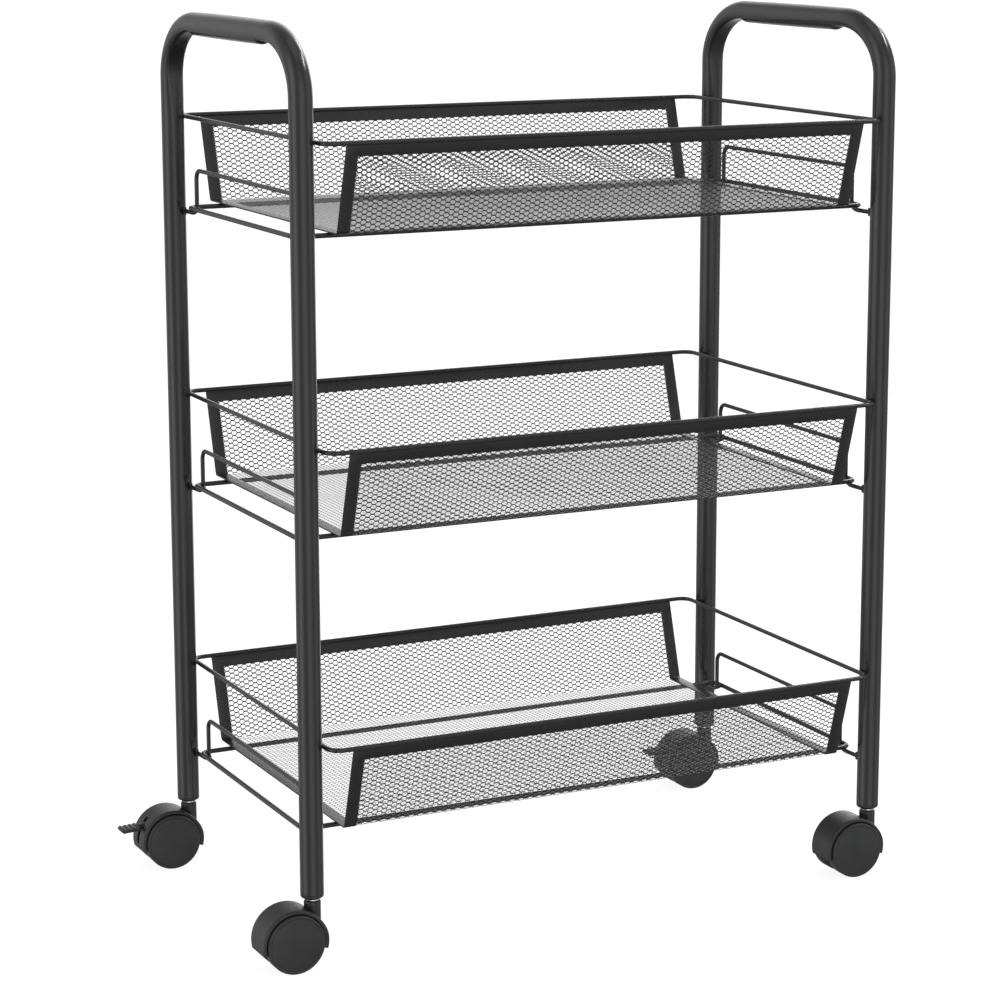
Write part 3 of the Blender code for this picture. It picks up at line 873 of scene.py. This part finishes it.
def wheel_mesh(face):
    """A disc with a domed face inside a narrow raised rim, and a hollow back round its hub."""
    r, front, back = WHEEL_R, WHEEL_FACE, WHEEL_BACK
    dome_drop, rim_turn = 1.3 * MM, 1.2 * MM
    inner_r, hub_r, floor_y = 17.0 * MM, 5.5 * MM, front - 3.4 * MM
    bore_end = front - 2.1 * MM
    profile = [(k * 2 * MM, front - 0.1 * MM - dome_drop * (k / 9) ** 2) for k in range(10)]
    profile += [(18.4 * MM, front - 1.55 * MM), (18.65 * MM, front - 1.4 * MM)]
    profile += [(18.9 * MM, front - 1.2 * MM)]
    profile += arc(r - rim_turn, front - 2.3 * MM, rim_turn, math.pi / 2, 0, 7)
    profile += [(r, back + 1.0 * MM), (r - 0.3 * MM, back + 0.3 * MM), (r - 1.0 * MM, back)]
    profile += [(17.5 * MM, back), (inner_r, back + 0.5 * MM), (inner_r, floor_y)]
    profile += [(hub_r, floor_y), (hub_r, back), (AXLE_HOLE_R, back)]
    profile += [(AXLE_HOLE_R, bore_end), (0, bore_end)]
    bm = bmesh.new()
    revolve(bm, [(radius, face * y) for radius, y in profile], 96, "Y")
    return mesh_of(bm, "wheel")


def lever_mesh():
    """Trunnioned arm and ribbed foot pedal, about the lever's pivot."""
    root, level = PEDAL_ROOT_X - LEVER_X, PEDAL_TOP_Z - LEVER_Z

    def arm(bm):
        end = root - 1.6 * MM
        outline = arc(0, 0, ARM_R, -math.pi / 2, math.pi / 2, 16)
        outline += [(end, level), (end, level - PEDAL_THICK - 1.2 * MM)]
        extrude_y(bm, outline, -ARM_HALF, ARM_HALF)

    def trunnion(bm):
        reach = WEB_HALF - 0.2 * MM
        profile = [(0, -reach), (TRUNNION_R, -reach), (TRUNNION_R, reach), (0, reach)]
        revolve(bm, profile, 24, "Y")

    def pedal(bm):
        length = PEDAL_ROOT_X - PEDAL_TIP_X
        rib = ((0.0, 0.0), (0.16, 0.75), (0.28, 1.0), (0.48, 1.0), (0.62, 0.7), (0.8, 0.0))
        edge = [((i + part) * length / PEDAL_RIBS, lift * RIB_HIGH)
                for i in range(PEDAL_RIBS) for part, lift in rib]
        edge += [(length - 0.3 * MM, -0.4 * MM), (length - 0.9 * MM, 0.2 * MM - PEDAL_THICK)]
        edge += [(length - 1.6 * MM, -PEDAL_THICK), (0.8 * MM, -PEDAL_THICK)]
        edge += [(0.1 * MM, 0.5 * MM - PEDAL_THICK)]
        outline = [(root - along, level - RIB_HIGH + lift - along * math.tan(PEDAL_TILT))
                   for along, lift in edge]
        extrude_y(bm, outline, -PEDAL_HALF, PEDAL_HALF)

    mesh = shaped(tool(arm), [("UNION", tool(trunnion)), ("UNION", tool(pedal))])
    return softened(mesh, 0.3 * MM, 2, 45)


def casters():
    hoods = {braked: housing_mesh(braked) for braked in (False, True)}
    wheels = {"front": wheel_mesh(-1), "back": wheel_mesh(1)}
    lever = lever_mesh()
    for end, end_sign in ENDS.items():
        for side, side_sign in SIDES.items():
            name, braked = f"{end}_{side}", end in BRAKED
            body = f"caster_{name}"
            place = Vector((CENTRE_X + side_sign * LEG_X, end_sign * LEG_Y, 0))
            stem_socket(name, place)
            caster_stem(name, place)
            node = f"caster_housing_{name}"
            piece(f"hood_{name}", hoods[braked].copy(), HOOD_PLASTIC, body, [node],
                  place, 32)
            hub = place + Vector((-TRAIL, 0, WHEEL_R))
            for face, wheel in wheels.items():
                node = f"wheel_{face}_{name}"
                piece(f"disc_{face}_{name}", wheel.copy(), WHEEL_PLASTIC, node, [node],
                      hub, 32)
            if braked:
                node = f"brake_lever_{name}"
                pivot = place + Vector((LEVER_X, 0, LEVER_Z))
                piece(f"pedal_{name}", lever.copy(), LEVER_PLASTIC, node, [node],
                      pivot, 32)
            axle = frame["nodes"][f"axle_{name}"]
            axle.data.materials.clear()
            axle.data.materials.append(ZINC)
    for mesh in (*hoods.values(), *wheels.values(), lever):
        bpy.data.meshes.remove(mesh)


# ---------------------------------------------------------------- studio

# A soft box: name, azimuth, elevation, width, height, watts.
SOFTBOXES = (
    ("overhead", 20, 84, 1.8, 1.8, 5),
    ("key", 84, 47, 1.0, 0.30, 20),
    ("back_right", 122, 38, 0.8, 0.35, 9),
)
SOFTBOX_AIM_Z = 0.33
SOFTBOX_DISTANCE = 2.6

# A soft lobe of the surroundings: azimuth, elevation, half-width in degrees, brightness.
LOBES = (
    (-90, 6, 18, 1.7),
    (-8, 2, 20, 1.15),
    (58, 6, 15, 0.8),
    (130, 14, 12, 2.6),
    (160, 14, 12, 0.9),
    (-148, 8, 13, 0.6),
)
LOBE_SQUASH = 0.5  # the lobes are twice as tall as wide
SURROUND = 0.30
SURROUND_RISE = 0.14

CAMERA_AT = (-0.9129, -1.8763, 0.7195)
CAMERA_PITCH = 11.298
CAMERA_YAW = 26.438
CAMERA_LENS = 105.67
CAMERA_SHIFT = (-0.0227, -0.03)


def floor():
    """A pale floor that glows evenly, so that it is white to the camera but lights nothing."""
    n = Nodes("pale_floor")
    n.feed("Base Color", n.colours(n.noise(3, 2, 0.5), shades((0.22, 0.22, 0.22), 0.004)))
    n.set("Roughness", 0.9)
    n.set("Specular IOR Level", 0.1)
    n.set("Emission Color", (1, 1, 1, 1))
    n.set("Emission Strength", 0.9)
    bm = bmesh.new()
    bmesh.ops.create_circle(bm, cap_ends=True, radius=60, segments=96)
    mesh = bpy.data.meshes.new("studio_floor")
    bm.to_mesh(mesh)
    bm.free()
    mesh.materials.append(n.mat)
    obj = linked("studio_floor", mesh)
    obj.visible_glossy = obj.visible_diffuse = obj.visible_shadow = False


def towards(azimuth, elevation):
    """A direction from the cart. Azimuth 0 is the cart's front (-Y) and 90 its right (+X)."""
    a, e = math.radians(azimuth), math.radians(elevation)
    return Vector((math.sin(a) * math.cos(e), -math.cos(a) * math.cos(e), math.sin(e)))


def softbox(name, azimuth, elevation, width, height, power):
    data = bpy.data.lights.new(name, "AREA")
    data.shape, data.size, data.size_y, data.energy = "RECTANGLE", width, height, power
    obj = linked(name, data)
    way = towards(azimuth, elevation)
    obj.location = Vector((CENTRE_X, 0, SOFTBOX_AIM_Z)) + way * SOFTBOX_DISTANCE
    obj.rotation_euler = (-way).to_track_quat("-Z", "Y").to_euler()
    obj.visible_camera = False


def world():
    """White to the camera. To all else a dim surround with soft lobes round the horizon."""
    w = bpy.data.worlds.new("studio")
    bpy.context.scene.world = w
    w.use_nodes = True
    tree = w.node_tree
    links = tree.links

    def math_node(operation, first, second):
        node = tree.nodes.new("ShaderNodeMath")
        node.operation = operation
        for socket, value in zip(node.inputs, (first, second)):
            if isinstance(value, float):
                socket.default_value = value
            else:
                links.new(value, socket)
        return node.outputs[0]

    def vector_node(operation, source, other=None):
        node = tree.nodes.new("ShaderNodeVectorMath")
        node.operation = operation
        links.new(source, node.inputs[0])
        if other is not None:
            node.inputs[1].default_value = other
        return node

    around = tree.nodes.new("ShaderNodeTexCoord").outputs["Generated"]
    squashed = vector_node("MULTIPLY", around, (1, 1, LOBE_SQUASH)).outputs[0]
    way = vector_node("NORMALIZE", squashed).outputs[0]
    split = tree.nodes.new("ShaderNodeSeparateXYZ")
    links.new(way, split.inputs[0])
    rise = math_node("MULTIPLY", split.outputs["Z"], SURROUND_RISE)
    total = math_node("ADD", SURROUND, rise)
    for azimuth, elevation, width, bright in LOBES:
        axis = towards(azimuth, elevation)
        axis = Vector((axis.x, axis.y, axis.z * LOBE_SQUASH)).normalized()
        near = math_node("MAXIMUM", vector_node("DOT_PRODUCT", way, axis).outputs["Value"], 0.0)
        lobe = math_node("POWER", near, math.radians(width) ** -2)
        total = math_node("ADD", total, math_node("MULTIPLY", lobe, bright))
    mix = tree.nodes.new("ShaderNodeMix")
    mix.data_type = "RGBA"
    colour = {socket.name: socket for socket in mix.inputs if socket.type == "RGBA"}
    links.new(total, colour["A"])
    colour["B"].default_value = (0.99, 0.99, 0.99, 1)
    links.new(tree.nodes.new("ShaderNodeLightPath").outputs["Is Camera Ray"], mix.inputs[0])
    shade = next(socket for socket in mix.outputs if socket.type == "RGBA")
    links.new(shade, tree.nodes["Background"].inputs["Color"])


def camera():
    data = bpy.data.cameras.new("camera")
    data.sensor_width = 36
    data.lens = CAMERA_LENS
    data.shift_x, data.shift_y = CAMERA_SHIFT
    data.clip_end = 200
    obj = linked("camera", data)
    obj.location = CAMERA_AT
    obj.rotation_euler = (math.radians(90 - CAMERA_PITCH), 0, math.radians(-CAMERA_YAW))
    bpy.context.scene.camera = obj


def studio():
    floor()
    world()
    for values in SOFTBOXES:
        softbox(*values)
    camera()
    bpy.context.scene.view_settings.view_transform = "Standard"


def main():
    for side in SIDES:
        end_frame(side)
    for tier in TIERS:
        rim_wire(tier)
        base_wire(tier)
        for side in SIDES:
            guard(tier, side)
    trays()
    casters()
    studio()


main()
